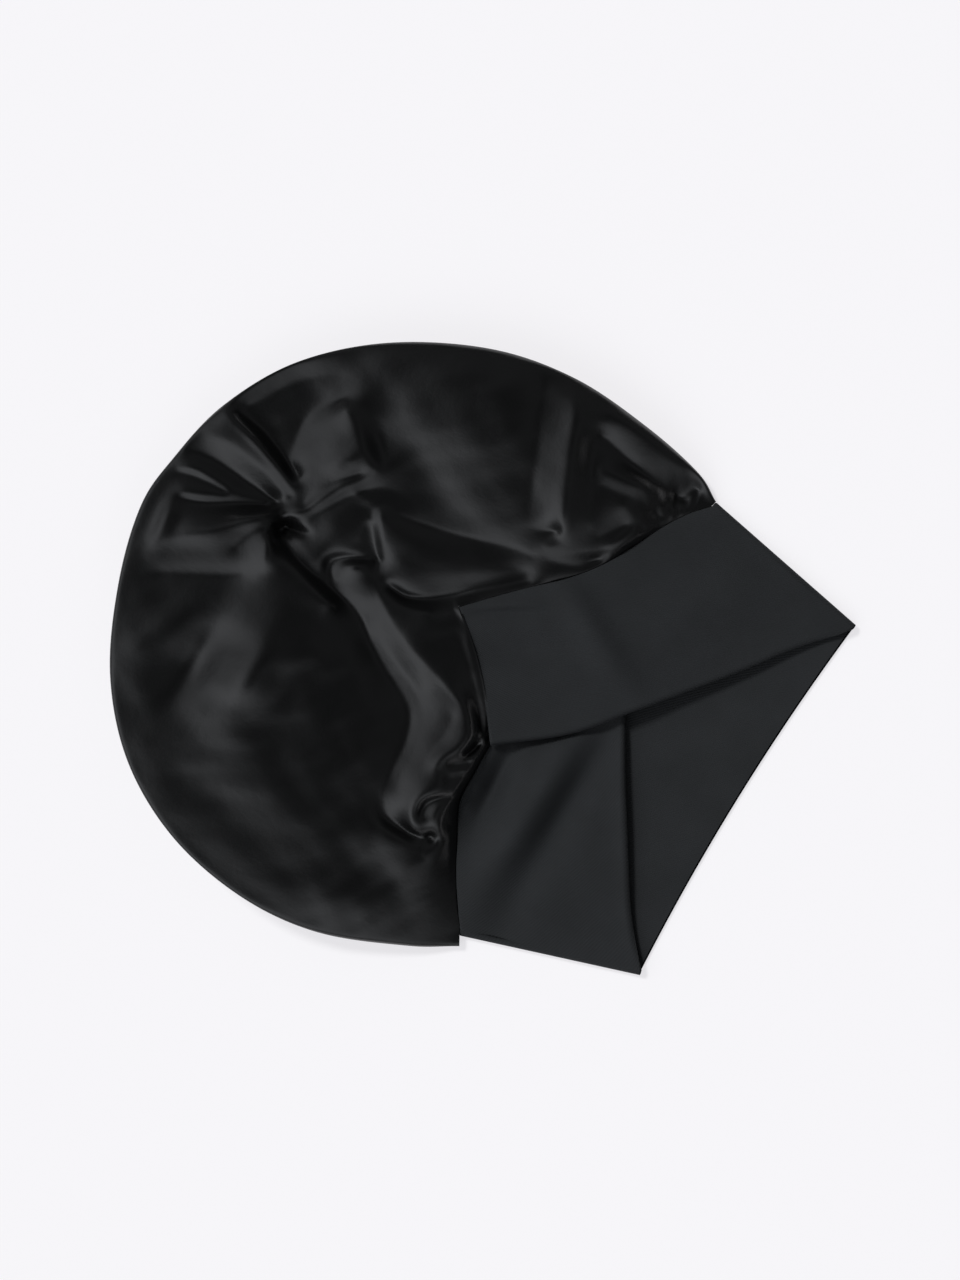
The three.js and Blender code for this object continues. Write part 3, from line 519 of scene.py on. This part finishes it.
def band_middle(across):
    """The band's middle surface as one strip: tucked end, lower strip, left fold, back, right fold, upper strip."""
    tuck = through(TUCKED_END, np.linspace(0, len(TUCKED_END) - 1, TUCK_LINES)[:-1])
    s = np.linspace(CROSSING, LAST, LOWER_LINES)
    lower_rim = through(SECTIONS[CROSSING:, RIM], s - CROSSING)
    lower = np.concatenate([band_lines(tuck[:, :3], tuck[:, 3:], across),
                            band_lines(seam_at(s)[:, :3], lower_rim, across)])
    lower[..., 2] += swell_height(lower[..., :2].reshape(-1, 2), LOWER_WRINKLES).reshape(lower.shape[:2])
    from_left = np.concatenate([np.ones(len(tuck)), smooth(np.clip((LAST - s) / FOLD_EASE, 0, 1))])
    lower[..., 2] -= from_left[:, None] * rim_turn(across)
    k = np.linspace(0, 1, BACK_LINES)[:, None]
    level = np.full((len(k), 1), BAND_WALL / 2)
    back_seam, back_rim = (mix(SECTIONS[LAST, part[:2]], SECTIONS[0, part[:2]], k) for part in (SEAM, RIM))
    back = band_lines(np.hstack([back_seam, level]), np.hstack([back_rim, level]), across)
    back[..., 1] += BACK_RIM_BOW * 4 * k * (1 - k) * across
    s = np.linspace(0, TIP, UPPER_LINES)
    upper = band_lines(seam_at(s)[:, :3], through(SECTIONS[:TIP + 1, RIM], s), across)
    near_tip = np.clip((s - TIP) / TIP_REACH + 1, 0, 1)[:, None] ** 2
    straight = mix(SECTIONS[TIP, :2], SECTIONS[TIP, RIM][:2], across[:, None])
    bow = seam_at(mix(TIP, CROSSING - 1e-6, across))[:, :2] - straight
    upper[..., :2] += near_tip[..., None] * bow
    upper[-1, :, :2] += (SEAM_GAP, -SEAM_GAP)
    upper[..., 2] += swell_height(upper[..., :2].reshape(-1, 2), UPPER_WRINKLES).reshape(upper.shape[:2])
    upper[..., 2] -= smooth(np.clip(s / FOLD_EASE, 0, 1))[:, None] * rim_turn(across)
    return np.concatenate([lower, side_fold(LAST, -1, False, across), back, side_fold(0, 1, True, across), upper])


def grid_normals(grid):
    """Unit normals of a grid of points from the cross product of its two directions."""
    normal = np.cross(np.gradient(grid, axis=0), np.gradient(grid, axis=1))
    return normal / np.linalg.norm(normal, axis=2, keepdims=True)


def band_grid():
    """Rings round the band: its middle moved half a wall out on one side, a half-round edge, and back on the
    other."""
    across = runs(BAND_RUNS)
    middle = band_middle(across)
    normal = grid_normals(middle)
    sideways = np.gradient(middle, axis=1)
    sideways /= np.linalg.norm(sideways, axis=2, keepdims=True)
    half = BAND_WALL / 2
    turn = np.linspace(0, np.pi, 9)[1:-1][None, :, None]
    inset = middle.copy()
    inset[:, 0] += half * sideways[:, 0]
    inset[:, -1] -= half * sideways[:, -1]
    rim_edge = inset[:, -1:] + half * (np.cos(turn) * normal[:, -1:] + np.sin(turn) * sideways[:, -1:])
    seam_edge = inset[:, :1] - half * (np.cos(turn) * normal[:, :1] + np.sin(turn) * sideways[:, :1])
    return np.concatenate([inset + half * normal, rim_edge, (inset - half * normal)[:, ::-1], seam_edge], axis=1)


def shader(name, **sockets):
    """A new material with its main shader's sockets set; returns the material, its nodes, links and the shader."""
    material = bpy.data.materials.new(name)
    material.use_nodes = True
    nodes, links = material.node_tree.nodes, material.node_tree.links
    main = nodes["Principled BSDF"]
    for socket, value in sockets.items():
        main.inputs[socket.replace("_", " ")].default_value = value
    return material, nodes, links, main


def noise(nodes, links, vector, scale, detail):
    """A noise texture on the given coordinates."""
    texture = nodes.new("ShaderNodeTexNoise")
    texture.inputs["Scale"].default_value = scale
    texture.inputs["Detail"].default_value = detail
    links.new(vector, texture.inputs["Vector"])
    return texture


def bump(nodes, links, height, strength, distance):
    """A bump node that reads the given height."""
    relief = nodes.new("ShaderNodeBump")
    relief.inputs["Strength"].default_value = strength
    relief.inputs["Distance"].default_value = distance
    links.new(height, relief.inputs["Height"])
    return relief


def satin_finish():
    """Black satin: a close sheen that varies a little, with a fine weave and faint crinkles in its bump."""
    material, nodes, links, main = shader("black_satin", Base_Color=(0.0042, 0.0043, 0.0044, 1))
    main.inputs["Specular IOR Level"].default_value = 0.55
    place = nodes.new("ShaderNodeTexCoord")
    crinkle = noise(nodes, links, place.outputs["Object"], scale=70, detail=4)
    grain = noise(nodes, links, place.outputs["Object"], scale=900, detail=2)
    sheen = nodes.new("ShaderNodeMapRange")
    sheen.inputs["To Min"].default_value = 0.25
    sheen.inputs["To Max"].default_value = 0.37
    links.new(crinkle.outputs["Fac"], sheen.inputs["Value"])
    links.new(sheen.outputs["Result"], main.inputs["Roughness"])
    folds = bump(nodes, links, crinkle.outputs["Fac"], strength=0.16, distance=0.002)
    weave = bump(nodes, links, grain.outputs["Fac"], strength=0.12, distance=0.0003)
    links.new(folds.outputs["Normal"], weave.inputs["Normal"])
    links.new(weave.outputs["Normal"], main.inputs["Normal"])
    return material


def knit_finish():
    """Matte black stretch fabric with fine slanting ribs."""
    material, nodes, links, main = shader("stretch_knit", Roughness=0.6)
    main.inputs["Specular IOR Level"].default_value = 0.1
    place = nodes.new("ShaderNodeTexCoord")
    ribs = nodes.new("ShaderNodeTexWave")
    ribs.bands_direction = "DIAGONAL"
    ribs.inputs["Scale"].default_value = RIB_WAVE / RIB_SPACING
    ribs.inputs["Distortion"].default_value = 0.6
    ribs.inputs["Detail Scale"].default_value = 0.3
    links.new(place.outputs["UV"], ribs.inputs["Vector"])
    uneven = noise(nodes, links, place.outputs["Object"], scale=35, detail=3)
    tint = nodes.new("ShaderNodeValToRGB")
    tint.color_ramp.elements[0].position = 0.3
    tint.color_ramp.elements[1].position = 0.7
    tint.color_ramp.elements[0].color = (0.0226, 0.024, 0.0253, 1)
    tint.color_ramp.elements[1].color = (0.0264, 0.028, 0.0298, 1)
    links.new(uneven.outputs["Fac"], tint.inputs["Fac"])
    links.new(tint.outputs["Color"], main.inputs["Base Color"])
    relief = bump(nodes, links, ribs.outputs["Fac"], strength=0.35, distance=0.0003)
    links.new(relief.outputs["Normal"], main.inputs["Normal"])
    return material


def floor_piece():
    """Plain pale floor."""
    mesh = bpy.data.meshes.new("floor")
    corners = [(x * FLOOR_HALF, y * FLOOR_HALF, 0) for x, y in ((-1, -1), (1, -1), (1, 1), (-1, 1))]
    mesh.from_pydata(corners, [], [(0, 1, 2, 3)])
    floor = bpy.data.objects.new("floor", mesh)
    bpy.context.scene.collection.objects.link(floor)
    material, _, _, main = shader("pale_floor", Base_Color=(0.3, 0.3, 0.3, 1), Roughness=0.9)
    main.inputs["Emission Color"].default_value = (0.985, 0.97, 1, 1)
    main.inputs["Emission Strength"].default_value = 0.692
    mesh.materials.append(material)
    return floor


def studio_light():
    """Soft light from all sides and little from straight above: brightness by height above the horizon, with one
    side brighter."""
    world = bpy.data.worlds.new("studio")
    bpy.context.scene.world = world
    world.use_nodes = True
    nodes, links = world.node_tree.nodes, world.node_tree.links
    way = nodes.new("ShaderNodeTexCoord")
    apart = nodes.new("ShaderNodeSeparateXYZ")
    links.new(way.outputs["Generated"], apart.inputs["Vector"])
    ramp = nodes.new("ShaderNodeValToRGB")
    ramp.color_ramp.interpolation = "EASE"
    while len(ramp.color_ramp.elements) < len(SKY_LEVELS):
        ramp.color_ramp.elements.new(0.5)
    for element, (position, level) in zip(ramp.color_ramp.elements, SKY_LEVELS):
        element.position = position
        element.color = (level, level, level, 1)
    links.new(apart.outputs["Z"], ramp.inputs["Fac"])
    side = nodes.new("ShaderNodeVectorMath")
    side.operation = "DOT_PRODUCT"
    side.inputs[1].default_value = BRIGHT_SIDE
    links.new(way.outputs["Generated"], side.inputs[0])
    add = nodes.new("ShaderNodeMath")
    add.inputs[1].default_value = EVEN_SHARE
    links.new(side.outputs["Value"], add.inputs[0])
    least = nodes.new("ShaderNodeMath")
    least.operation = "MAXIMUM"
    least.inputs[1].default_value = LEAST_SHARE
    links.new(add.outputs[0], least.inputs[0])
    level = nodes.new("ShaderNodeMath")
    level.operation = "MULTIPLY"
    links.new(least.outputs[0], level.inputs[0])
    links.new(ramp.outputs["Color"], level.inputs[1])
    nodes["Background"].inputs["Color"].default_value = (0.96, 0.985, 1.03, 1)
    links.new(level.outputs[0], nodes["Background"].inputs["Strength"])


def key_light():
    """Soft light from beyond the crown that shades the matte band; the satin's sheen comes from the studio
    light."""
    data = bpy.data.lights.new("soft_key", "SUN")
    data.energy = KEY_STRENGTH
    data.angle = math.radians(KEY_WIDTH)
    lamp = bpy.data.objects.new("soft_key", data)
    lamp.rotation_euler = (math.radians(90 - KEY_HEIGHT), 0, math.radians(90 + KEY_SIDE))
    lamp.visible_glossy = False
    bpy.context.scene.collection.objects.link(lamp)


def camera_above():
    """Camera straight above, turned so that the crown lies to the upper left as in the picture."""
    data = bpy.data.cameras.new("camera")
    data.lens = LENS
    data.clip_end = 50
    camera = bpy.data.objects.new("camera", data)
    bpy.context.scene.collection.objects.link(camera)
    camera.location = (*VIEW_MIDDLE, VIEW_WIDTH * data.lens / data.sensor_width)
    camera.rotation_euler = (0, 0, math.atan2(VIEW_RIGHT[1], VIEW_RIGHT[0]))
    bpy.context.scene.camera = camera


camera_above()
studio_light()
key_light()
floor_piece()

crown = grid_mesh("satin_crown", crown_grid())
crown.data.materials.append(satin_finish())
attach(crown, "root")
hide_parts("crown_front", "crown_back")

band = grid_mesh("stretch_band", band_grid(), ring=True)
band.data.materials.append(knit_finish())
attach(band, "root")
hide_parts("band")

bpy.context.scene.view_settings.view_transform = "Standard"
